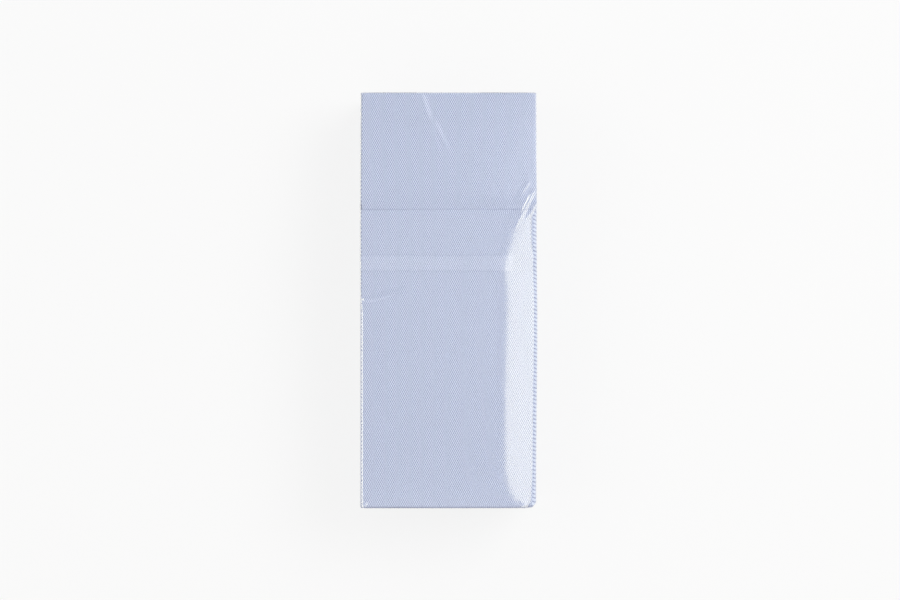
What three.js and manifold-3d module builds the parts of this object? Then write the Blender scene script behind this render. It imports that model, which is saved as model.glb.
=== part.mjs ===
// A clear film pack of folded pouch napkins, lying flat.
// Millimetres, +Z up. The origin is the middle of the underside, and +Y points to the napkins' open end.

import * as THREE from 'three';
import { mergeVertices } from 'three/addons/utils/BufferGeometryUtils.js';
import Module from 'manifold-3d';

// Folded napkins
const NAPKIN_COUNT = 20;
const NAPKIN_WIDTH = 84;
const NAPKIN_LENGTH = 199;
const NAPKIN_THICKNESS = 2.4; // over the pocket, as pressed in the pack
const NAPKIN_GAP = 0.1; // air between two napkins
const FOLD_ROUNDING = 0.5; // a folded edge draws in this far at its top and bottom

// The pocket in the front of each napkin
const MOUTH_DROP = 56; // from the open end down to the pocket's mouth
const MOUTH_BEVEL = 0.3; // the mouth's edge leans back this far
const HEM_DEPTH = 28; // turned down inside the mouth
const HEM_WALL = 0.24; // the front ply with the hem behind it
const FRONT_PLY = 0.16; // the front ply below the hem
const POCKET_SLIT = 0.04; // the flat pocket's height under the hem
const BACK_DIP = 0.03; // the back plies dip this far as they leave the pocket
const POCKET_SIDE = 3; // closed by a fold at each side
const POCKET_FOOT = 3; // closed by the fold at the bottom

// The pressed stack
const SHOULDER_WIDTH = 20; // the stack rounds off along its right-hand edge
const SHOULDER_DROP = 5;
const SHOULDER_RUN_OUT = 24; // the shoulder fades over this length at the closed end
const OPEN_END_LEVEL = 11; // at the open end the settled stack is level for this length

// The film
const FILM = 0.15;
const FILM_CLEARANCE = 0.2;
const SEAM_LAP = 12; // the film's two edges overlap under the stack
const SEAM_GAP = 0.06; // between the two lapped edges
const END_FLAP_OVERLAP = 10; // the two flaps of a folded end overlap at mid height
const END_FLAP_TIP = 26; // width of a flap's tip

// Places along the napkins
const closedEnd = -NAPKIN_LENGTH / 2;
const openEnd = NAPKIN_LENGTH / 2;
const mouth = openEnd - MOUTH_DROP;
const hemEdge = mouth - HEM_DEPTH;
const pocketFoot = closedEnd + POCKET_FOOT;
const shoulderFull = closedEnd + SHOULDER_RUN_OUT;
const settled = openEnd - OPEN_END_LEVEL;

// Places across the napkins
const shoulderStart = NAPKIN_WIDTH / 2 - SHOULDER_WIDTH;
const pocketEdge = NAPKIN_WIDTH / 2 - POCKET_SIDE;

// Levels in the stack
const mouthStep = HEM_WALL + POCKET_SLIT + BACK_DIP; // a napkin is this much thinner above its mouth
const napkinPitch = NAPKIN_THICKNESS + NAPKIN_GAP;
const seamHeight = 2 * FILM + SEAM_GAP;
const stackBase = seamHeight + FILM_CLEARANCE;

// The film's outer size
const filmHalfWidth = NAPKIN_WIDTH / 2 + FILM_CLEARANCE + FILM;
const filmHalfLength = NAPKIN_LENGTH / 2 + FILM_CLEARANCE + FILM;

const wasm = await Module();
wasm.setup();

// Even steps from one place to another, without the first place.
const steps = (from, to, count) =>
  Array.from({ length: count }, (_, i) => THREE.MathUtils.lerp(from, to, (i + 1) / count));

// How far the top of the stack lies below its full height: at the shoulder, which fades at the closed end
// and beside the hem, and past the mouths, where the napkins are thinner and settle on each other.
function stackSink(x, y) {
  const across = Math.max(x - shoulderStart, 0) / SHOULDER_WIDTH;
  const fade = Math.min((y - closedEnd) / SHOULDER_RUN_OUT, (mouth - y) / HEM_DEPTH);
  const past = THREE.MathUtils.smoothstep(y, mouth, settled);
  const shoulder = SHOULDER_DROP * across ** 2 * THREE.MathUtils.clamp(fade, 0, 1);
  return shoulder + NAPKIN_COUNT * mouthStep * past;
}

// The underside of the napkin that has this many napkins below it.
const underside = (below, x, y) =>
  stackBase + below * napkinPitch - (stackSink(x, y) * below) / NAPKIN_COUNT;

// The front of that napkin over its pocket, and its front above the mouth, where the hem and pocket end.
const pocketFront = (below, x, y) => underside(below + 1, x, y) - NAPKIN_GAP;
const upperFront = (below, x, y) => underside(below, x, y) + NAPKIN_THICKNESS - mouthStep;

// A surface over the stack, at a distance from the napkin on top.
const filmTop = (distance, x, y) => underside(NAPKIN_COUNT, x, y) - NAPKIN_GAP + distance;

// A closed block on a grid of places in x and y, between two surfaces, with rings around its sides.
// Each ring has its own height between the surfaces, and its own inset at the block's sides and ends.
// Both surfaces are split along the same diagonals, so that stacked blocks keep an even gap.
function block(xs, ys, low, high, rings) {
  const [lastX, lastY, lastRing] = [xs, ys, rings].map((list) => list.length - 1);
  const geometry = new THREE.BoxGeometry(1, 1, 1, lastX, lastY, lastRing);
  const position = geometry.getAttribute('position');
  const index = (value, last) => Math.round((value + 0.5) * last);
  const inward = (i, last) => (i === 0 ? 1 : 0) - (i === last ? 1 : 0);
  for (let n = 0; n < position.count; n++) {
    const i = index(position.getX(n), lastX);
    const j = index(position.getY(n), lastY);
    const ring = rings[index(position.getZ(n), lastRing)];
    const z = ring.height(low(xs[i], ys[j]), high(xs[i], ys[j]));
    position.setXYZ(n, xs[i] + ring.inset * inward(i, lastX), ys[j] + ring.inset * inward(j, lastY), z);
  }
  const corners = geometry.getIndex().array;
  const lowSurface = geometry.groups.at(-1);
  for (let n = lowSurface.start; n < lowSurface.start + lowSurface.count; n += 6) {
    const [a, b, d, , c] = corners.slice(n, n + 6);
    corners.set([a, b, c, a, c, d], n);
  }
  return geometry;
}

// Rings for a block with plain upright sides, for a folded napkin and for the film around the stack.
const plainRings = [
  { height: (low) => low, inset: 0 },
  { height: (low, high) => high, inset: 0 },
];
const foldedRings = [
  { height: (low) => low, inset: FOLD_ROUNDING },
  { height: (low, high) => (low + high) / 2, inset: 0 },
  { height: (low, high) => high, inset: FOLD_ROUNDING },
];
const filmRings = [
  { height: (low) => low, inset: FOLD_ROUNDING },
  { height: (low) => low + NAPKIN_THICKNESS / 2, inset: 0 },
  { height: (low, high) => high - NAPKIN_THICKNESS / 2, inset: 0 },
  { height: (low, high) => high, inset: FOLD_ROUNDING },
];

// Joining and cutting
function solidOf(geometry) {
  geometry.deleteAttribute('normal');
  geometry.deleteAttribute('uv');
  const merged = mergeVertices(geometry);
  return new wasm.Manifold(
    new wasm.Mesh({
      numProp: 3,
      vertProperties: new Float32Array(merged.getAttribute('position').array),
      triVerts: new Uint32Array(merged.index.array),
    }),
  );
}

function geometryOf(solid) {
  const { vertProperties, triVerts } = solid.getMesh();
  const geometry = new THREE.BufferGeometry();
  geometry.setAttribute('position', new THREE.BufferAttribute(vertProperties, 3));
  geometry.setIndex(new THREE.BufferAttribute(triVerts, 1));
  geometry.computeVertexNormals();
  return geometry;
}

function boxSolid(x0, x1, y0, y1, z0, z1) {
  const box = new THREE.BoxGeometry(x1 - x0, y1 - y0, z1 - z0);
  return solidOf(box.translate((x0 + x1) / 2, (y0 + y1) / 2, (z0 + z1) / 2));
}

// Places where the stack's surface bends, for a block of a given half width and half length
const SHOULDER_FACETS = 2;
const SETTLE_FACETS = 3;
const shoulderPlaces = [shoulderStart, ...steps(shoulderStart, pocketEdge, SHOULDER_FACETS)];
const settlePlaces = steps(mouth + MOUTH_BEVEL, settled, SETTLE_FACETS);
const placesAcross = (half) => [-half, ...shoulderPlaces, half];
const placesAlong = (half) => [
  -half,
  pocketFoot,
  shoulderFull,
  hemEdge,
  mouth,
  mouth + MOUTH_BEVEL,
  ...settlePlaces,
  half,
];

// One folded napkin: the pressed plies, with the pocket behind the front ply
function napkinGeometry(below) {
  const low = (x, y) => underside(below, x, y);
  const high = (x, y) => (y > mouth ? upperFront(below, x, y) : pocketFront(below, x, y));
  const across = placesAcross(NAPKIN_WIDTH / 2);
  const plies = block(across, placesAlong(NAPKIN_LENGTH / 2), low, high, foldedRings);

  const pocketAcross = [-pocketEdge, ...shoulderPlaces];
  const hemTurn = hemEdge - MOUTH_BEVEL;
  const pocketAlong = [pocketFoot, shoulderFull, hemTurn, hemEdge, mouth, mouth + MOUTH_BEVEL];
  const front = (x, y) => pocketFront(below, x, Math.min(y, mouth));
  const floor = (x, y) => front(x, y) - HEM_WALL - POCKET_SLIT;
  const roof = (x, y) => front(x, y) - (y < hemEdge ? FRONT_PLY : HEM_WALL);
  const pocket = block(pocketAcross, pocketAlong, floor, roof, plainRings);
  return geometryOf(solidOf(plies).subtract(solidOf(pocket)));
}

// The space that the film surrounds, or the film's outer form: the stack, grown by a distance
function filmBlock(distance, floor) {
  const low = () => floor;
  const high = (x, y) => filmTop(distance, x, y);
  const across = placesAcross(NAPKIN_WIDTH / 2 + distance);
  const along = placesAlong(NAPKIN_LENGTH / 2 + distance);
  return solidOf(block(across, along, low, high, filmRings));
}

// A flap of a folded film end: it runs from its base to its tip, as thick as the layers that it lies over
function endFlap(end, baseHeight, tipHeight, layers) {
  const outline = new THREE.Shape([
    new THREE.Vector2(-filmHalfWidth, baseHeight),
    new THREE.Vector2(filmHalfWidth, baseHeight),
    new THREE.Vector2(END_FLAP_TIP / 2, tipHeight),
    new THREE.Vector2(-END_FLAP_TIP / 2, tipHeight),
  ]);
  const seat = FILM / 2;
  const thickness = seat + layers * FILM;
  const flap = new THREE.ExtrudeGeometry(outline, { depth: thickness, bevelEnabled: false });
  const outerFace = end > 0 ? filmHalfLength + layers * FILM : seat - filmHalfLength;
  return solidOf(flap.rotateX(Math.PI / 2).translate(0, outerFace, 0));
}

// The film: a thin wall around the stack, lapped along the underside, with two flaps over each end
function filmGeometry() {
  const seamEdge = SEAM_LAP / 2;
  const seamStep = seamEdge + FILM;
  const wallFoot = NAPKIN_LENGTH / 2 + FILM_CLEARANCE - FOLD_ROUNDING;
  const lapEnd = wallFoot + FILM;
  const slotEnd = wallFoot - FILM;
  const slot = boxSolid(seamEdge, seamStep, -slotEnd, slotEnd, -FILM, FILM + SEAM_GAP / 2);
  const lap = boxSolid(-seamEdge, seamStep + FILM, -lapEnd, lapEnd, FILM + SEAM_GAP, seamHeight);
  const step = boxSolid(seamStep, seamStep + FILM, -lapEnd, lapEnd, FILM / 2, seamHeight);
  const wall = filmBlock(FILM_CLEARANCE + FILM, 0).subtract(filmBlock(FILM_CLEARANCE, FILM));
  const parts = [lap, step];
  for (const end of [-1, 1]) {
    const top = filmTop(FILM_CLEARANCE + FILM, 0, end * filmHalfLength);
    const foldHeight = NAPKIN_THICKNESS / 2;
    parts.push(endFlap(end, top - foldHeight, (top - END_FLAP_OVERLAP) / 2, 1));
    parts.push(endFlap(end, foldHeight, (top + END_FLAP_OVERLAP) / 2, 2));
  }
  return geometryOf(parts.reduce((film, part) => film.add(part), wall.subtract(slot)));
}

// The pack
const pack = new THREE.Group();

function addPiece(name, geometry, look) {
  const mesh = new THREE.Mesh(geometry, new THREE.MeshStandardMaterial(look));
  mesh.name = name;
  pack.add(mesh);
}

for (let below = 0; below < NAPKIN_COUNT; below++) {
  const name = `napkin_${String(below + 1).padStart(2, '0')}`;
  addPiece(name, napkinGeometry(below), { color: 0xbec6dc, roughness: 0.95, metalness: 0 });
}
const filmLook = { color: 0xf4f7fb, roughness: 0.1, metalness: 0, transparent: true, opacity: 0.2 };
addPiece('film_wrap', filmGeometry(), filmLook);

export default pack;
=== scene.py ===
"""Looks of a film-wrapped pack of cutlery pouch napkins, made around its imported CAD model.

Everything is in metres, in the model's own frame: +Z up through the stack, +Y along the napkins towards
their open end and +X to the right across them. Each napkin is one sheet, folded as the real one is folded,
and the film is one sheet too, lapped under the pack and folded in at both ends.
"""

import math

import bmesh
import bpy
import numpy as np
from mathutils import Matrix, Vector


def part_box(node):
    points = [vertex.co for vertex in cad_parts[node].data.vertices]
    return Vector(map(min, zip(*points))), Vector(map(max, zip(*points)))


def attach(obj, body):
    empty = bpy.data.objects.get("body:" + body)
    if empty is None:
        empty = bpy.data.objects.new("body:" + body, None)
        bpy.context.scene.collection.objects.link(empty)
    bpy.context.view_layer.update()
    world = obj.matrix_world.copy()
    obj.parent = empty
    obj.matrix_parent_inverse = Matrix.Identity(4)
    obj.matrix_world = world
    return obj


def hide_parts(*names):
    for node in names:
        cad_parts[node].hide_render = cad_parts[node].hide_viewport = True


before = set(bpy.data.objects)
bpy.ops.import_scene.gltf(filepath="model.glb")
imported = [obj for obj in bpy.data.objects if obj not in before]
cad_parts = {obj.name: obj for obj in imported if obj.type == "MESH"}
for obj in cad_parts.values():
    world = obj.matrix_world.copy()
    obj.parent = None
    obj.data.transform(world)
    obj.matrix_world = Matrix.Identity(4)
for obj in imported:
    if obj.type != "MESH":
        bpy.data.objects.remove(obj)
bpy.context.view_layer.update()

MM = 0.001

# Places and sizes read from the frame
NAPKIN_NODES = sorted(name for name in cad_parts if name.startswith("napkin_"))
NAPKIN_COUNT = len(NAPKIN_NODES)
stack_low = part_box(NAPKIN_NODES[0])[0]
stack_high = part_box(NAPKIN_NODES[-1])[1]
film_low, film_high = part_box("film_wrap")

# The folded napkin
NAPKIN_GAP = 0.1 * MM
MOUTH_DROP = 56.4 * MM
HEM_DEPTH = 28 * MM
MOUTH_STEP = 0.31 * MM
PANELS_ACROSS = 4
EDGE_STAGGER = 0.2 * MM
EDGE_TO_FILM = 0.08 * MM
LEFT_RECESS = 0.25 * MM

# How the stack sits
OPEN_END_LEVEL = 11 * MM
SHOULDER_START = 22 * MM
SHOULDER_WIDTH = 20 * MM
SHOULDER_DROP = 4 * MM
SHOULDER_LOSS = 0.5
SHOULDER_MOUTH_FADE = 10 * MM
SHOULDER_FADES_BELOW = 0.6
SHOULDER_END_FADE = 24 * MM
SHOULDER_END_SHARE = 0.3
SHOULDER_SWELL = 0.2
SPINE_RECESS = 1.9 * MM
SPINE_RECESS_ABOVE = 1.5 * MM
SPINE_RECESS_END = 1.8 * MM
SPINE_RECESS_DECAY = 2.0
SPINE_SWELL = 0.6 * MM
SPINE_SWELL_REACH = 45 * MM
SPINE_SWELL_PLACE = -SPINE_SWELL_REACH / 3
SPINE_PANELS = 2
SPINE_MIDDLE = 1.5
SPINE_SEEN_ANGLE = 0.75 * math.pi
CORNER_ROUND = 2.4 * MM
CORNER_LEAST = 0.1
HEM_RISE = 1.0 * MM
HEM_RAMP = 9 * MM
HEM_ROUND = 0.12
HEM_RAMP_ABOVE = 2.5 * MM

# The film
FILM_CLEARANCE = 0.2 * MM
FILM_LAYER = 0.09 * MM
FILM_BASE = FILM_LAYER / 3
TOP_FLAP_LAYERS = 2
BASE_FLAP_LAYERS = 4
SEAM_LAP = 12 * MM
SEAM_LIFT = 2 * FILM_LAYER
FLAP_OVERLAP = 10 * MM
FILM_TIGHT_RADIUS = 0.4 * MM
FILM_LEFT_RADIUS = 1.7 * MM
FILM_RIGHT_RADIUS = 2.4 * MM
FILM_RIGHT_RADIUS_ABOVE = 2.6 * MM
FILM_RIGHT_RADIUS_END = 3.6 * MM
FILM_LEFT_TIGHTENS = (-8 * MM, 6 * MM)
FILM_LEAVES_STACK = 0.175

# The camera, straight above the pack
LENS_MM = 85
SENSOR_MM = 36
CAMERA_ABOVE = 1.017
CAMERA_X = 0.72 * MM
CAMERA_Y = -0.10 * MM

half_width = stack_high.x
half_length = stack_high.y
mouth = half_length - MOUTH_DROP
hem_edge = mouth - HEM_DEPTH
settled = half_length - OPEN_END_LEVEL
shoulder_fades = mouth - SHOULDER_FADES_BELOW * SHOULDER_MOUTH_FADE
napkin_pitch = (stack_high.z - stack_low.z + NAPKIN_GAP) / NAPKIN_COUNT
napkin_thickness = napkin_pitch - NAPKIN_GAP
panel = napkin_thickness / PANELS_ACROSS
open_end_drop = NAPKIN_COUNT * MOUTH_STEP
film_end = film_high.y - BASE_FLAP_LAYERS * FILM_LAYER
left_edge = film_low.x + EDGE_TO_FILM
spine_centre = film_high.x - EDGE_TO_FILM - SPINE_PANELS * panel
spine_place = spine_centre - left_edge + SPINE_SEEN_ANGLE * SPINE_MIDDLE * panel
top_panel_middle = 3 * half_width
top_panel_left = 4 * half_width


def smooth(low, high, value):
    """0 below low, 1 above high, and a soft S between them."""
    t = np.clip((value - low) / (high - low), 0, 1)
    return t * t * (3 - 2 * t)


# Shape of the stack

def below_mouth(y):
    """1 along the pocket, and 0 past its mouth."""
    return 1 - smooth(shoulder_fades, shoulder_fades + SHOULDER_MOUTH_FADE, y)


def near_closed_end(y):
    """1 at the closed end, falling to 0 along the pocket."""
    return np.clip((SHOULDER_END_FADE - half_length - y) / SHOULDER_END_FADE, 0, 1) ** 2


def shoulder_share(y):
    """How much of the soft right-hand shoulder there is at y: less of it at both ends of the pocket."""
    along_hem = np.clip((y - hem_edge) / (shoulder_fades - hem_edge), 0, None)
    towards_mouth = (1 - SHOULDER_LOSS * along_hem) * below_mouth(y)
    at_hem = np.exp(-((y - hem_edge) / HEM_RAMP) ** 2)
    swell = 1 + SHOULDER_SWELL * (at_hem + smooth(0, half_length / 2, -y))
    return swell * towards_mouth * (1 - (1 - SHOULDER_END_SHARE) * near_closed_end(y))


def shoulder_begins(y):
    """1 half-way down the shoulder's beginning, near the pocket's mouth, and 0 on either side of it."""
    share = np.clip(shoulder_share(y), 0, 1)
    return np.where(y > 0, 4 * share * (1 - share), 0)


def shoulder_drop(x, y):
    """How far the right-hand shoulder lies below the flat top."""
    across = np.clip(x - SHOULDER_START, 0, None) / SHOULDER_WIDTH
    return SHOULDER_DROP * across ** 2 * shoulder_share(y)


def hem_drop(y):
    """How far the pocket lies below the thicker hem."""
    share = np.clip((y - hem_edge - HEM_RAMP_ABOVE) / HEM_RAMP + 0.5, 0, 1)
    from_end = np.minimum(share, 1 - share)
    rise = np.where(from_end < HEM_ROUND, from_end ** 2 / (2 * HEM_ROUND), from_end - HEM_ROUND / 2)
    rise = rise / (1 - HEM_ROUND)
    return HEM_RISE * np.where(share < 0.5, 1 - rise, rise)


def stack_sink(x, y):
    """How far the top of the stack lies below its highest level."""
    return shoulder_drop(x, y) + hem_drop(y) + open_end_drop * smooth(mouth, settled, y)


def underside(below, x, y):
    """Height of a napkin's underside, with that many napkins below it."""
    return stack_low.z + below * (napkin_pitch - stack_sink(x, y) / NAPKIN_COUNT)


def edge_recess(y):
    """How far the right-hand edge draws in at the closed end's corner, or swells along the pocket."""
    inside = np.clip(y + half_length, CORNER_LEAST * CORNER_ROUND, CORNER_ROUND)
    corner = CORNER_ROUND - np.sqrt(CORNER_ROUND ** 2 - (CORNER_ROUND - inside) ** 2)
    return corner - SPINE_SWELL * np.exp(-((y - SPINE_SWELL_PLACE) / SPINE_SWELL_REACH) ** 2)


def spine_recess(below, y):
    """How far a napkin's right-hand folds draw back, which is most for the top one, under the shoulder."""
    top = SPINE_RECESS * below_mouth(y) + SPINE_RECESS_ABOVE * shoulder_begins(y)
    top = top + SPINE_RECESS_END * near_closed_end(y)
    return top * math.exp(SPINE_RECESS_DECAY * (below + 1 - NAPKIN_COUNT)) + edge_recess(y)


# Meshes

SHARP_ANGLE = math.radians(60)


def grid_faces(rows, columns, first=0, flip=False):
    """Quads of a grid of points that are numbered row by row."""
    r, c = np.meshgrid(np.arange(rows - 1), np.arange(columns - 1), indexing="ij")
    corner = first + (r * columns + c).ravel()
    quads = np.stack([corner, corner + 1, corner + columns + 1, corner + columns], axis=1)
    return quads[:, ::-1] if flip else quads


def rim_faces(rows, columns):
    """Quads that close the edge between two equal grids of points, numbered one after the other."""
    number = np.arange(rows * columns).reshape(rows, columns)
    edge = np.concatenate([number[0, :-1], number[:-1, -1], number[-1, :0:-1], number[:0:-1, 0]])
    after = np.roll(edge, -1)
    other = rows * columns
    return np.stack([after, edge, edge + other, after + other], axis=1)


def mesh_object(name, points, faces, sheet_places, material):
    """An object made of quads, with places on the flat sheet as its UV map, in metres."""
    mesh = bpy.data.meshes.new(name)
    mesh.from_pydata(points.tolist(), [], faces.tolist())
    layer = mesh.uv_layers.new(name="sheet")
    corners = np.zeros(len(mesh.loops), np.int32)
    mesh.loops.foreach_get("vertex_index", corners)
    layer.data.foreach_set("uv", sheet_places[corners].astype(np.float32).ravel())
    mesh.polygons.foreach_set("use_smooth", np.ones(len(mesh.polygons), bool))
    mesh.materials.append(material)
    tidy = bmesh.new()
    tidy.from_mesh(mesh)
    bmesh.ops.recalc_face_normals(tidy, faces=tidy.faces)
    tidy.to_mesh(mesh)
    tidy.free()
    mesh.set_sharp_from_angle(angle=SHARP_ANGLE)
    obj = bpy.data.objects.new(name, mesh)
    bpy.context.scene.collection.objects.link(obj)
    return obj


# Napkins

PLY_BACK_OPEN = 0.5
PLY_BACK_HEM = 0.125
PLY_BACK_POCKET = 0.25
PLY_FRONT_HEM = 0.875
PLY_FRONT_POCKET = 0.75
PLY_HEM_DOWN = 0.375
PLY_HEM_UP = 0.625
HALF_PLY_OPEN = 0.42
HALF_PLY_HEM = 0.11
HALF_PLY_POCKET = 0.22
HEM_BLEND = 3 * MM
MOUTH_BLEND = 5 * MM

# How many places a napkin's mesh has along its zones, in its turns and across its panels
ZONE_SHARES = [2, 7, 5, 4, 5, 11, 4]
HEM_SHARE = 4
TURN_COUNT = 7
HEM_TURN_COUNT = 5
PANEL_COUNT = 6
TOP_PANEL_COUNT = 22
OUTER_TURN_COUNT = 9
INNER_TURN_COUNT = 7


def blend_by_zone(y, pocket, hem, open_end):
    """A value that differs between the pocket, its hem and the part above its mouth."""
    lower = pocket + (hem - pocket) * smooth(hem_edge - HEM_BLEND, hem_edge + HEM_BLEND, y)
    return lower + (open_end - hem) * smooth(mouth, mouth + MOUTH_BLEND, y)


def ply_back(y):
    return blend_by_zone(y, PLY_BACK_POCKET, PLY_BACK_HEM, PLY_BACK_OPEN)


def ply_front(y):
    return blend_by_zone(y, PLY_FRONT_POCKET, PLY_FRONT_HEM, PLY_FRONT_HEM)


def turn(y, level, radius, start, end, count):
    """A fold's round turn: places along the napkin, and levels from its back, 0, to its front, 1."""
    angle = np.linspace(start, end, count)
    return np.stack([y + radius * panel * np.cos(angle), level + radius * np.sin(angle)], axis=1)


def straight(y, level):
    return np.stack([y, np.broadcast_to(level, y.shape)], axis=1)


def lengthwise_path(closed_end, open_end, detail):
    """The sheet's way along the napkin: down the back, up the front and twice over inside the mouth.

    Returns each place's y, its level between the back and the front, half the ply's thickness there
    as a share of a panel, and its distance along the flat sheet from the fold at the pocket's mouth.
    """
    pocket_turn = (PLY_FRONT_POCKET - PLY_BACK_POCKET) / 2
    mouth_turn = (PLY_FRONT_HEM - PLY_HEM_DOWN) / 2
    hem_turn = (PLY_HEM_UP - PLY_HEM_DOWN) / 2
    foot = closed_end + pocket_turn * panel
    lip = mouth - mouth_turn * panel
    hem_foot = hem_edge + hem_turn * panel
    zones = [open_end, settled, mouth + MOUTH_BLEND, mouth, hem_edge + HEM_BLEND, hem_edge - HEM_BLEND,
             foot + CORNER_ROUND, foot]
    back = np.concatenate([
        np.linspace(start, end, share * detail, endpoint=False)
        for start, end, share in zip(zones, zones[1:], ZONE_SHARES)
    ])
    front = back[(back < lip) & (back > foot)][::-1]
    hem = np.linspace(hem_foot, lip, HEM_SHARE * detail)
    up, down, round_down = 0.5 * math.pi, -0.5 * math.pi, 1.5 * math.pi
    path = np.concatenate([
        straight(back, ply_back(back)),
        turn(foot, 0.5, pocket_turn, round_down, up, TURN_COUNT),
        straight(front, ply_front(front)),
        turn(lip, (PLY_FRONT_HEM + PLY_HEM_DOWN) / 2, mouth_turn, up, down, TURN_COUNT),
        straight(hem[::-1][1:-1], PLY_HEM_DOWN),
        turn(hem_foot, 0.5, hem_turn, round_down, up, HEM_TURN_COUNT),
        straight(hem[1:-1], PLY_HEM_UP),
    ])
    y, level = path.T
    half_ply = blend_by_zone(y, HALF_PLY_POCKET, HALF_PLY_HEM, HALF_PLY_OPEN)
    run = np.hypot(np.diff(y), np.diff(level) * panel)
    along_sheet = np.concatenate([[0], np.cumsum(run)])
    at_lip = len(back) + TURN_COUNT + len(front) + TURN_COUNT // 2
    return y, level, half_ply, along_sheet - along_sheet[at_lip]


def crosswise_path(left, detail):
    """The sheet's way across the napkin, where it is folded in four.

    From the bottom panel it goes round the outer spine at the right to the top panel, under itself at
    the left, and round the inner spine to its last panel. A place at a level between back and front lies
    at distance (reach + side * level) panels from a centre, in the direction of an angle. Returns the
    centre's x, its height in panels, reach, side, the angle and the distance across the flat sheet.
    """
    spine = spine_centre
    fold = left + panel
    up, down = 0.5 * math.pi, -0.5 * math.pi
    stretches = [
        (left, spine, 2, 1, 1, down, down, PANEL_COUNT),
        (spine, spine, 2, 1, 1, down, up, OUTER_TURN_COUNT),
        (spine, fold, 2, 1, 1, up, up, TOP_PANEL_COUNT * detail),
        (fold, fold, 3, 0, 1, up, 3 * up, OUTER_TURN_COUNT),
        (fold, spine, 2, 1, -1, up, up, PANEL_COUNT),
        (spine, spine, 2, 1, -1, up, down, INNER_TURN_COUNT),
        (spine, left, 2, 1, -1, down, down, PANEL_COUNT),
    ]
    columns = []
    before = 0.0
    for start, end, height, reach, side, turn_from, turn_to, count in stretches:
        x = np.linspace(start, end, count)
        angle = np.linspace(turn_from, turn_to, count)
        fixed = np.broadcast_to([[height, reach, side]], (count, 3))
        run = np.abs(np.diff(x)) + np.abs(np.diff(angle)) * (reach + 0.5 * side) * panel
        stretch = np.column_stack([x, fixed, angle, np.concatenate([[before], run])])
        columns.append(stretch[:-1])
        before = run[-1]
    path = np.concatenate(columns + [stretch[-1:]])
    path[:, 5] = np.cumsum(path[:, 5])
    return path.T


def napkin_points(below, y, level, along_path):
    """Points of one face of a folded sheet, for its places along and across the napkin."""
    x, height, reach, side, angle, _ = along_path
    distance = reach + side * level[:, None]
    thickness = blend_by_zone(y, panel, panel, panel - MOUTH_STEP / PANELS_ACROSS)[:, None]
    across = x + distance * panel * np.cos(angle)
    across = across * (1 - np.where(across > 0, spine_recess(below, y)[:, None] / half_width, 0))
    along = np.broadcast_to(y[:, None], across.shape)
    pressed = (shoulder_drop(across, along) + hem_drop(along)) / (NAPKIN_COUNT * PANELS_ACROSS)
    up = underside(below, across, along) + (height + distance * np.sin(angle)) * (thickness - pressed)
    return np.stack([across, along, up], axis=2).reshape(-1, 3)


def napkin(below, material, chance):
    """One napkin: a sheet with its thickness, folded into a pocket with a hem, then in four across."""
    on_top = below == NAPKIN_COUNT - 1
    detail = 2 if on_top else 1
    stagger = chance.uniform(0, EDGE_STAGGER, 3)
    end = film_end - EDGE_TO_FILM
    y, level, half_ply, along_sheet = lengthwise_path(stagger[0] - end, end - stagger[1], detail)
    across = crosswise_path(left_edge + stagger[2] + (LEFT_RECESS if on_top else 0), detail)
    tangent = np.stack([np.gradient(y), np.gradient(level) * panel], axis=1)
    tangent /= np.linalg.norm(tangent, axis=1)[:, None]
    faces = []
    for face in (1, -1):
        shifted_y = y - face * half_ply * panel * tangent[:, 1]
        shifted_level = level + face * half_ply * tangent[:, 0]
        faces.append(napkin_points(below, shifted_y, shifted_level, across))
    rows, columns = len(y), across.shape[1]
    quads = np.concatenate([
        grid_faces(rows, columns),
        grid_faces(rows, columns, first=rows * columns, flip=True),
        rim_faces(rows, columns),
    ])
    across_sheet = across[5] + (TOP_EMBOSS_SHIFT if on_top else 0)
    v, u = np.meshgrid(along_sheet, across_sheet, indexing="ij")
    places = np.tile(np.stack([u.ravel(), v.ravel()], axis=1), (2, 1))
    name = f"pouch_napkin_{below + 1:02d}"
    return mesh_object(name, np.concatenate(faces), quads, places, material)


# Film

FILM_STEP = 0.75 * MM
FILM_FINE_STEP = 0.35 * MM
FILM_FINE_ALONG = [(-101, -94), (-2, 2), (34, 57)]
FILM_FINE_ACROSS = [(-43, -37), (30, 43)]
FLAP_STEP = 2 * MM
CORNER_COUNT = 8
WALL_COUNT = 24
BASE_COUNT = 16
FILM_END_RADIUS = 0.7 * MM
FOLD_SHARPENS = 2 * MM
END_TURN_COUNT = 6

# Creases of the film's top: start, end, half-width and height, in millimetres
CREASE_FADES_IN = (-0.05, 0.2)
CREASE_FADES_OUT = (0.4, 1.05)
CREASES = [
    ((-16.8, 109.0), (-2.3, 63.5), 1.9, 0.28),
    ((-8.2, 88.5), (1.6, 67.0), 1.4, 0.14),
    ((-21.5, 106.0), (-11.5, 84.0), 1.3, 0.15),
    ((40.9, 52.4), (31.2, 33.4), 0.95, 0.42),
    ((42.6, 47.2), (36.6, 38.2), 0.6, 0.24),
    ((38.8, 56.6), (31.6, 47.0), 0.9, 0.21),
    ((-42.0, -1.4), (-13.0, 7.2), 1.2, 0.20),
    ((-41.4, 0.0), (-35.8, 0.6), 0.5, 0.35),
    ((-42.2, -99.4), (-38.8, -95.2), 0.6, 0.30),
    ((-40.6, -99.6), (-38.6, -95.8), 0.5, 0.25),
    ((34.2, -97.0), (39.6, -99.0), 0.4, 0.16),
    ((-4.6, -100.4), (-3.4, -97.0), 0.4, 0.20),
]


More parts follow.
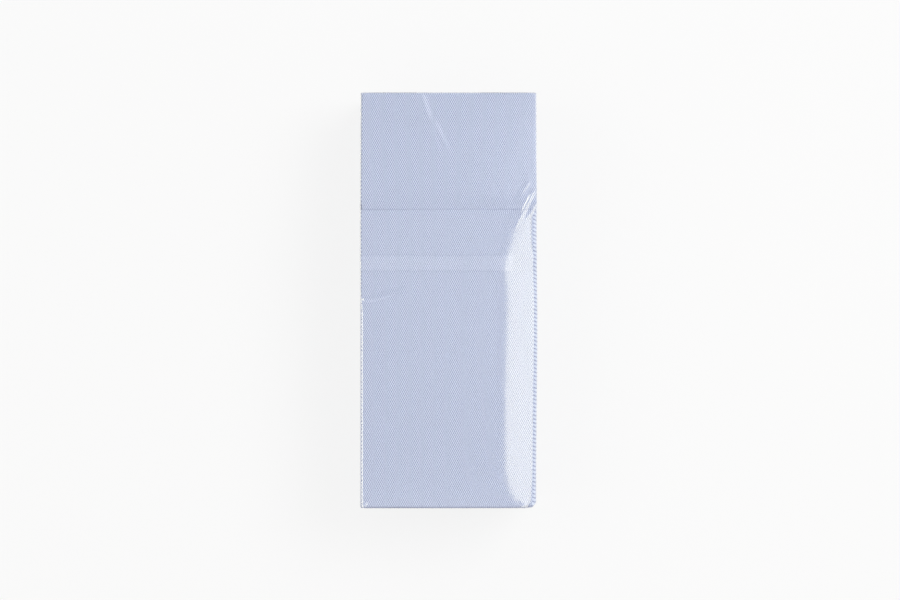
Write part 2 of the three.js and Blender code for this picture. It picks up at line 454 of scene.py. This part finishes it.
def crease(x, y, start, end, width, height):
    """A soft ridge in the film from one place to another, fading at both ends."""
    start, end = np.array(start) * MM, np.array(end) * MM
    run = end - start
    length = np.hypot(*run)
    share = ((x - start[0]) * run[0] + (y - start[1]) * run[1]) / length ** 2
    off = ((x - start[0]) * run[1] - (y - start[1]) * run[0]) / length
    fade = smooth(*CREASE_FADES_IN, share) * (1 - smooth(*CREASE_FADES_OUT, share))
    return height * MM * fade * np.exp(-(off / (width * MM)) ** 2)


def film_open_end_sink(y):
    """The film follows the stack just past the mouth, then spans straight to the open end's edge."""
    leaves = mouth + FILM_LEAVES_STACK * (settled - mouth)
    at_leave = open_end_drop * smooth(mouth, settled, leaves)
    slope = (open_end_drop - at_leave) / (half_length - leaves)
    return np.where(y < leaves, open_end_drop * smooth(mouth, settled, y), at_leave + slope * (y - leaves))


def film_top(x, y):
    """Height of the film over the stack, with its creases."""
    flat = stack_high.z + FILM_CLEARANCE
    top = flat - shoulder_drop(x, y) - hem_drop(y) - film_open_end_sink(y)
    for one in CREASES:
        top = top + crease(x, y, *one)
    return top


def graded(low, high, fine_spans):
    """Places from low to high, closer together within the fine spans."""
    places = [low]
    while places[-1] < high:
        fine = any(start * MM < places[-1] < end * MM for start, end in fine_spans)
        places.append(places[-1] + (FILM_FINE_STEP if fine else FILM_STEP))
    places = np.array(places)
    return low + (places - low) * (high - low) / (places[-1] - low)


def film_rows():
    """Places along the film: how far along the pack, how far in over its end, and which end (-1, 0 or 1)."""
    inner = film_end - FILM_END_RADIUS
    t = np.linspace(0, 1, END_TURN_COUNT)[1:]
    turn_along = film_end - FILM_END_RADIUS * (1 - t) ** 2
    turn_in = FILM_END_RADIUS * t ** 2
    rows = []
    for sign in (-1, 1):
        height = film_top(np.array(0.0), np.array(sign * inner))
        reach = (height + FLAP_OVERLAP) / 2
        flap_in = np.linspace(FILM_END_RADIUS, reach, round(reach / FLAP_STEP))[1:]
        along = np.concatenate([turn_along, np.full(len(flap_in), film_end)]) * sign
        inset = np.concatenate([turn_in, flap_in])
        rows.append(np.column_stack([along, inset, np.full(len(inset), sign)]))
    body = graded(-inner, inner, FILM_FINE_ALONG)
    middle = np.column_stack([body, np.zeros((len(body), 2))])
    return np.concatenate([rows[0][::-1], middle, rows[1]])


def bezier(start, corner, end, t):
    """A round corner between two edges."""
    return (1 - t) ** 2 * start + 2 * t * (1 - t) * corner + t ** 2 * end


FILM_PLACES_ACROSS = graded(film_low.x, film_high.x, FILM_FINE_ACROSS)


def film_section(along, inset, end):
    """Points of the film around the pack at one place along it.

    Past an end, the side walls tuck in over the end face, the top and the base fold over them as flaps,
    and the corners between them become gussets.
    """
    y = np.clip(along, -half_length, half_length)
    right, left = film_high.x - edge_recess(y), film_low.x
    base = FILM_BASE
    unfolded = 1 - smooth(0, FOLD_SHARPENS, inset)
    loose_left = FILM_LEFT_RADIUS - FILM_TIGHT_RADIUS
    radius = (FILM_TIGHT_RADIUS + loose_left * (1 - smooth(*FILM_LEFT_TIGHTENS, y))) * unfolded
    loose_right = FILM_RIGHT_RADIUS - FILM_TIGHT_RADIUS
    wide = FILM_TIGHT_RADIUS + loose_right * below_mouth(y) + FILM_RIGHT_RADIUS_ABOVE * shoulder_begins(y)
    wide = (wide + FILM_RIGHT_RADIUS_END * near_closed_end(y)) * unfolded
    t = np.linspace(0, 1, CORNER_COUNT)
    top_right = film_top(right - wide, y)
    fall = film_top(right - wide - FILM_STEP, y) - top_right
    corner_top = top_right - wide * fall / FILM_STEP
    top_left = film_top(left + radius, y)

    lap_x = np.linspace(-SEAM_LAP / 2, right - inset - radius, BASE_COUNT)
    lap_z = base + inset + SEAM_LIFT * (1 - smooth(SEAM_LAP / 2, SEAM_LAP, lap_x))
    base_layers = np.full(BASE_COUNT, BASE_FLAP_LAYERS)
    base_right = np.stack([lap_x, lap_z, base_layers], axis=1)

    edge = right - inset
    corner_1 = np.stack([
        bezier(edge - radius, edge, edge, t),
        bezier(base, base, base + radius, t) + (1 - t) * inset,
        BASE_FLAP_LAYERS * np.minimum((1 - t) * CORNER_COUNT, 1),
    ], axis=1)

    wall_z = np.linspace(base + radius, corner_top - wide, WALL_COUNT)
    wall_right = np.stack([np.full(WALL_COUNT, edge), wall_z, np.zeros(WALL_COUNT)], axis=1)

    corner_2 = np.stack([
        bezier(edge, edge, edge - wide, t),
        bezier(corner_top - wide, corner_top, top_right, t) - t * inset,
        TOP_FLAP_LAYERS * t,
    ], axis=1)

    top_share = (film_high.x - FILM_PLACES_ACROSS[::-1]) / (film_high.x - left)
    full_x = right - wide + top_share * (left - right + wide + radius)
    squeeze = (full_x - left) / (right - left)
    top_x = left + inset + squeeze * (right - left - 2 * inset)
    top_layers = np.full(len(top_x), TOP_FLAP_LAYERS)
    top = np.stack([top_x, film_top(full_x, y) - inset, top_layers], axis=1)

    edge = left + inset
    corner_3 = np.stack([
        bezier(edge + radius, edge, edge, t),
        bezier(top_left, top_left, top_left - radius, t) - (1 - t) * inset,
        TOP_FLAP_LAYERS * (1 - t),
    ], axis=1)

    wall_z = np.linspace(top_left - radius, base + radius, WALL_COUNT)
    wall_left = np.stack([np.full(WALL_COUNT, edge), wall_z, np.zeros(WALL_COUNT)], axis=1)

    corner_4 = np.stack([
        bezier(edge, edge, edge + radius, t),
        bezier(base + radius, base, base, t) + t * inset,
        BASE_FLAP_LAYERS * np.minimum(t * CORNER_COUNT, 1),
    ], axis=1)

    base_x = np.linspace(left + inset + radius, SEAM_LAP / 2, BASE_COUNT)
    base_left = np.stack([base_x, np.full(BASE_COUNT, base + inset), base_layers], axis=1)

    parts = [base_right, corner_1[1:], wall_right[1:], corner_2[1:], top[1:], corner_3[1:], wall_left[1:],
             corner_4[1:], base_left[1:]]
    x, z, layers = np.concatenate(parts).T
    lift = end * FILM_LAYER * layers * smooth(0, FILM_END_RADIUS, inset)
    return np.stack([x, along + lift, z], axis=1)


def film(material):
    """The film: one sheet around the stack, lapped under it and folded in over both ends."""
    rows = film_rows()
    sections = np.stack([film_section(*row) for row in rows])
    count, around = sections.shape[:2]
    run_around = np.linalg.norm(np.diff(sections[count // 2], axis=0), axis=1)
    run_along = np.linalg.norm(np.diff(sections[:, around // 2], axis=0), axis=1)
    u = np.concatenate([[0], np.cumsum(run_around)])
    v = np.concatenate([[0], np.cumsum(run_along)])
    v_grid, u_grid = np.meshgrid(v, u, indexing="ij")
    places = np.stack([u_grid.ravel(), v_grid.ravel()], axis=1)
    points = sections.reshape(-1, 3)
    piece = mesh_object("film_overwrap", points, grid_faces(count, around), places, material)
    return piece, (float(u[-1]), float(v[-1]))


# Materials

class Nodes:
    """A short way to write a material's node tree."""

    def __init__(self, name):
        self.material = bpy.data.materials.new(name)
        self.material.use_nodes = True
        self.tree = self.material.node_tree
        self.tree.nodes.clear()

    def add(self, kind, inputs=None, **settings):
        node = self.tree.nodes.new(kind)
        for key, value in settings.items():
            setattr(node, key, value)
        for key, value in (inputs or {}).items():
            socket = node.inputs[key]
            if isinstance(value, bpy.types.NodeSocket):
                self.tree.links.new(value, socket)
            else:
                socket.default_value = value
        return node

    def math(self, operation, first, second=0.0):
        return self.add("ShaderNodeMath", {0: first, 1: second}, operation=operation).outputs[0]

    def ranged(self, value, low, high, to_low, to_high):
        inputs = {"Value": value, "From Min": low, "From Max": high, "To Min": to_low, "To Max": to_high}
        return self.add("ShaderNodeMapRange", inputs).outputs["Result"]

    def finish(self, shader):
        self.add("ShaderNodeOutputMaterial", {"Surface": shader})
        return self.material


EMBOSS_ACROSS = 1.045 * MM
EMBOSS_ALONG = 1.885 * MM
EMBOSS_DEPTH = 0.14 * MM
EMBOSS_STRENGTH = 0.6
EMBOSS_FLAT = 0.8
FIBRE_SIZE = 0.35 * MM
FIBRE_DETAIL = 3.0
FIBRE_HEIGHT = 0.5
FIBRE_LEAST = 0.3
FIBRE_MOST = 0.7
FIBRE_SHADE = 0.25
# Painted shade: the paper's colour is darkened where its own folds and steps hide it, from local occlusion
PAINTED_SHADE_REACH = 1.5 * MM
PAINTED_SHADE_SAMPLES = 8
PAINTED_SHADE_POWER = 1.3
# Along the outer spine's fold the lattice is slanted, its painted shade made stronger and the paper painted
# lighter: painted light on the rim
SPINE_ZONE = 0.8 * MM
SPINE_SLANT = -0.4 * MM
SPINE_CONTRAST = 1.1
SPINE_PAINTED_LIGHT = 0.55
TOP_EMBOSS_SHIFT = 6 * EMBOSS_ACROSS
# Painted shade: a dark line along the pocket's mouth, strongest towards the left, and one along the closed
# end's fold
MOUTH_SHADE_WIDTH = 0.55 * MM
MOUTH_SHADE_LEAST = 0.0
MOUTH_SHADE_MOST = 0.6
FOOT_SHADE = 0.75
FOOT_SHADE_WIDTH = 0.9 * MM
# Colours of the lattice's tops and hollows: the hollows' colour is partly denser pressed fibre, partly
# painted shade of the emboss
AIRLAID_HIGH = (0.625, 0.68, 0.81, 1)
AIRLAID_LOW = (0.195, 0.235, 0.41, 1)
AIRLAID_PAINTED_SHADE = (0.2, 0.23, 0.36, 1)


def airlaid_material():
    """Soft, matt, pale blue airlaid paper with a fine embossed lattice of diamonds and short fibres. The
    lattice's hollows are darker, partly as painted shade; painted shade also lies in its folds and along the
    pocket's mouth and closed end, and painted light on its outer spine.
    """
    n = Nodes("airlaid_paper")
    sheet = n.add("ShaderNodeUVMap", uv_map="sheet").outputs["UV"]
    place = n.add("ShaderNodeSeparateXYZ", {"Vector": sheet})
    # Near the outer spine: slanted lattice, stronger painted lattice shade and painted light on the fold's
    # rim
    to_spine = n.math("SUBTRACT", place.outputs["X"], spine_place)
    past_spine = n.math("MAXIMUM", n.math("SUBTRACT", n.math("ABSOLUTE", to_spine), SPINE_ZONE), 0.0)
    slanted = n.ranged(to_spine, -SPINE_ZONE, SPINE_ZONE, -SPINE_SLANT, SPINE_SLANT)
    slanted = n.math("ADD", place.outputs["Y"], slanted)
    across = n.math("COSINE", n.math("MULTIPLY", past_spine, 2 * math.pi / EMBOSS_ACROSS))
    along = n.math("COSINE", n.math("MULTIPLY", slanted, 2 * math.pi / EMBOSS_ALONG))
    contrast = n.ranged(past_spine, 0.0, SPINE_ZONE, SPINE_CONTRAST, 1.0)
    lattice = n.math("MULTIPLY", n.math("MULTIPLY", across, along), contrast)
    spine_painted_light = n.ranged(past_spine, 0.0, SPINE_ZONE, SPINE_PAINTED_LIGHT, 0.0)
    raised = n.ranged(n.math("ADD", lattice, spine_painted_light), -EMBOSS_FLAT, EMBOSS_FLAT, 0.0, 1.0)
    fine = {"Vector": sheet, "Scale": 1 / FIBRE_SIZE, "Detail": FIBRE_DETAIL}
    fibre = n.add("ShaderNodeTexNoise", fine).outputs["Fac"]
    height = n.math("ADD", raised, n.math("MULTIPLY", fibre, FIBRE_HEIGHT))
    mottle = n.ranged(fibre, FIBRE_LEAST, FIBRE_MOST, -FIBRE_SHADE, FIBRE_SHADE)
    shade = n.math("ADD", raised, mottle)
    # Painted shade: the colour is multiplied by the sheet's own occlusion in its folds and steps
    reach = {"Distance": PAINTED_SHADE_REACH}
    painted_occlusion = n.add("ShaderNodeAmbientOcclusion", reach, only_local=True, samples=PAINTED_SHADE_SAMPLES)
    shade = n.math("MULTIPLY", shade, n.math("POWER", painted_occlusion.outputs["AO"], PAINTED_SHADE_POWER))
    # The lattice's hollows are painted darker, partly as painted shade of the emboss; this colour also
    # carries the painted occlusion shade
    colour_with_painted_shade = n.add("ShaderNodeMix", {0: shade, 6: AIRLAID_LOW, 7: AIRLAID_HIGH}, data_type="RGBA").outputs[2]
    # Painted shade: dark lines painted along the pocket's mouth step and along the closed end's fold
    from_mouth = n.math("ABSOLUTE", place.outputs["Y"])
    from_foot = n.math("ABSOLUTE", n.math("ADD", place.outputs["Y"], mouth + half_length))
    to_left = place.outputs["X"]
    mouth_shade_share = n.ranged(to_left, top_panel_middle, top_panel_left, MOUTH_SHADE_LEAST, MOUTH_SHADE_MOST)
    mouth_shade_line = n.math("MULTIPLY", n.ranged(from_mouth, 0.0, MOUTH_SHADE_WIDTH, 1.0, 0.0), mouth_shade_share)
    foot_shade_line = n.ranged(from_foot, 0.0, FOOT_SHADE_WIDTH, FOOT_SHADE, 0.0)
    # The mask of both painted shade lines, mixed towards the painted shade colour
    pressed = n.math("MAXIMUM", mouth_shade_line, foot_shade_line)
    colour = n.add("ShaderNodeMix", {0: pressed, 6: colour_with_painted_shade, 7: AIRLAID_PAINTED_SHADE}, data_type="RGBA")
    bump = n.add("ShaderNodeBump", {"Height": height, "Strength": EMBOSS_STRENGTH, "Distance": EMBOSS_DEPTH})
    shader = n.add("ShaderNodeBsdfPrincipled", {
        "Base Color": colour.outputs[2],
        "Roughness": 0.95,
        "Specular IOR Level": 0.15,
        "Sheen Weight": 0.15,
        "Sheen Roughness": 0.6,
        "Normal": bump.outputs["Normal"],
    })
    return n.finish(shader.outputs["BSDF"])


FILM_REFLECTS = 0.14
FILM_REFLECTS_MOST = 0.55
FILM_SLANT_POWER = 5.0
FILM_ROUGHNESS = 0.16
FILM_TINT = (0.985, 0.988, 0.992, 1)
FILM_WAVE = 9 * MM
FILM_WAVE_DETAIL = 2.0
FILM_WAVE_DEPTH = 1 * MM
FILM_WAVE_STRENGTH = 0.05


def film_material():
    """Clear glossy film: it mirrors a little straight on and more at a slant, and the rest goes through."""
    n = Nodes("clear_film")
    slant = n.add("ShaderNodeLayerWeight", {"Blend": 0.5}).outputs["Facing"]
    steep = n.math("POWER", slant, FILM_SLANT_POWER)
    mirror = n.ranged(steep, 0.0, 1.0, FILM_REFLECTS, FILM_REFLECTS_MOST)
    sheet = n.add("ShaderNodeUVMap", uv_map="sheet").outputs["UV"]
    broad = {"Vector": sheet, "Scale": 1 / FILM_WAVE, "Detail": FILM_WAVE_DETAIL}
    wave = n.add("ShaderNodeTexNoise", broad).outputs["Fac"]
    waved = {"Height": wave, "Strength": FILM_WAVE_STRENGTH, "Distance": FILM_WAVE_DEPTH}
    bump = n.add("ShaderNodeBump", waved).outputs["Normal"]
    shine = {"Color": (1, 1, 1, 1), "Roughness": FILM_ROUGHNESS, "Normal": bump}
    gloss = n.add("ShaderNodeBsdfGlossy", shine)
    clear = n.add("ShaderNodeBsdfTransparent", {"Color": FILM_TINT})
    mixed = n.add("ShaderNodeMixShader", {0: mirror, 1: clear.outputs["BSDF"], 2: gloss.outputs["BSDF"]})
    return n.finish(mixed.outputs["Shader"])


FLOOR_GLOW = 0.82
FLOOR_GRAIN = 6.0
FLOOR_GRAIN_DETAIL = 4.0
FLOOR_DARK = (0.10, 0.10, 0.10, 1)
FLOOR_LIGHT = (0.11, 0.11, 0.11, 1)


def floor_material():
    """A plain pale paper floor."""
    n = Nodes("pale_floor")
    grain = n.add("ShaderNodeTexNoise", {"Scale": FLOOR_GRAIN, "Detail": FLOOR_GRAIN_DETAIL}).outputs["Fac"]
    tone = n.ranged(grain, 0.2, 0.8, 0.0, 1.0)
    colour = n.add("ShaderNodeMix", {0: tone, 6: FLOOR_DARK, 7: FLOOR_LIGHT}, data_type="RGBA")
    shader = n.add("ShaderNodeBsdfPrincipled", {
        "Base Color": colour.outputs[2],
        "Roughness": 0.9,
        "Specular IOR Level": 0.1,
        "Emission Color": (1, 1, 1, 1),
        "Emission Strength": FLOOR_GLOW,
    })
    return n.finish(shader.outputs["BSDF"])


# Studio

FLOOR_SIZE = 12.0
WORLD_LIGHT = 0.70
GLOW_LIGHT = 0.30
GLOW_EDGE = 0.994
GLOW_TOWARDS = (0.03, 0.01, 1)
WHITE = (1, 1, 1)
WARM = (1.0, 0.94, 0.68)

# Lamps: name, tilt and turn in degrees, distance, size, power, colour, seen by matt and by glossy surfaces
LAMPS = [
    ("lamp_right", 42, 30, 1.8, (0.9, 1.2), 23.0, WHITE, True, False),
    ("lamp_left", 42, 180, 1.8, (0.9, 1.2), 5.0, WHITE, True, False),
    ("card_right", 38.5, 0, 1.2, (0.95, 2.4), 13.8, WARM, False, True),
    ("card_left", 42, 180, 1.2, (0.9, 2.8), 23.0, WARM, False, True),
    ("card_far", 24, 60, 1.3, (0.34, 0.3), 0.25, WHITE, False, True),
    ("card_near", 19.5, -90, 1.3, (0.42, 1.2), 0.82, WHITE, False, True),
]


def softbox(name, tilt, turn, distance, size, power, colour, seen_by_matt, seen_by_gloss):
    """A soft rectangular lamp that faces the pack: tilt is its angle from straight above, turn its side."""
    tilt, turn = math.radians(tilt), math.radians(turn)
    lamp = bpy.data.lights.new(name, "AREA")
    lamp.shape = "RECTANGLE"
    lamp.size, lamp.size_y = size
    lamp.energy = power
    lamp.color = colour
    obj = bpy.data.objects.new(name, lamp)
    middle = Vector((0, 0, stack_high.z))
    out = math.sin(tilt)
    direction = Vector((out * math.cos(turn), out * math.sin(turn), math.cos(tilt)))
    obj.location = middle + distance * direction
    obj.rotation_euler = (0, tilt, turn)
    obj.visible_camera = False
    obj.visible_diffuse = seen_by_matt
    obj.visible_glossy = seen_by_gloss
    bpy.context.scene.collection.objects.link(obj)


def studio():
    """A pale floor, light from all round that is stronger straight above, and the lamps."""
    bpy.ops.mesh.primitive_plane_add(size=FLOOR_SIZE)
    floor = bpy.context.object
    floor.name = "floor"
    floor.data.materials.append(floor_material())
    world = bpy.data.worlds.new("studio")
    world.use_nodes = True
    background = world.node_tree.nodes["Background"]
    background.inputs["Color"].default_value = (1, 1, 1, 1)
    place = world.node_tree.nodes.new("ShaderNodeTexCoord")
    facing = world.node_tree.nodes.new("ShaderNodeVectorMath")
    facing.operation = "DOT_PRODUCT"
    facing.inputs[1].default_value = Vector(GLOW_TOWARDS).normalized()
    glow = world.node_tree.nodes.new("ShaderNodeMapRange")
    glow.interpolation_type = "SMOOTHSTEP"
    glow.inputs["From Min"].default_value = GLOW_EDGE
    glow.inputs["To Min"].default_value = WORLD_LIGHT
    glow.inputs["To Max"].default_value = WORLD_LIGHT + GLOW_LIGHT
    links = world.node_tree.links
    links.new(place.outputs["Generated"], facing.inputs[0])
    links.new(facing.outputs["Value"], glow.inputs["Value"])
    links.new(glow.outputs["Result"], background.inputs["Strength"])
    bpy.context.scene.world = world
    for lamp in LAMPS:
        softbox(*lamp)


def camera():
    """The camera, looking straight down with the napkins' open end at the top of the picture."""
    data = bpy.data.cameras.new("camera")
    data.lens = LENS_MM
    data.sensor_width = SENSOR_MM
    obj = bpy.data.objects.new("camera", data)
    obj.location = (CAMERA_X, CAMERA_Y, stack_high.z + CAMERA_ABOVE)
    bpy.context.scene.collection.objects.link(obj)
    bpy.context.scene.camera = obj
    bpy.context.scene.view_settings.view_transform = "Standard"


STAGGER_SEED = 7


def dress():
    """Puts every napkin and the film in the place of its CAD solid."""
    chance = np.random.default_rng(STAGGER_SEED)
    paper = airlaid_material()
    wrap, wrap_flat = film(film_material())
    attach(wrap, "root")
    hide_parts("film_wrap")
    for below, node in enumerate(NAPKIN_NODES):
        piece = napkin(below, paper, chance)
        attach(piece, "root")
        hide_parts(node)


camera()
studio()
dress()
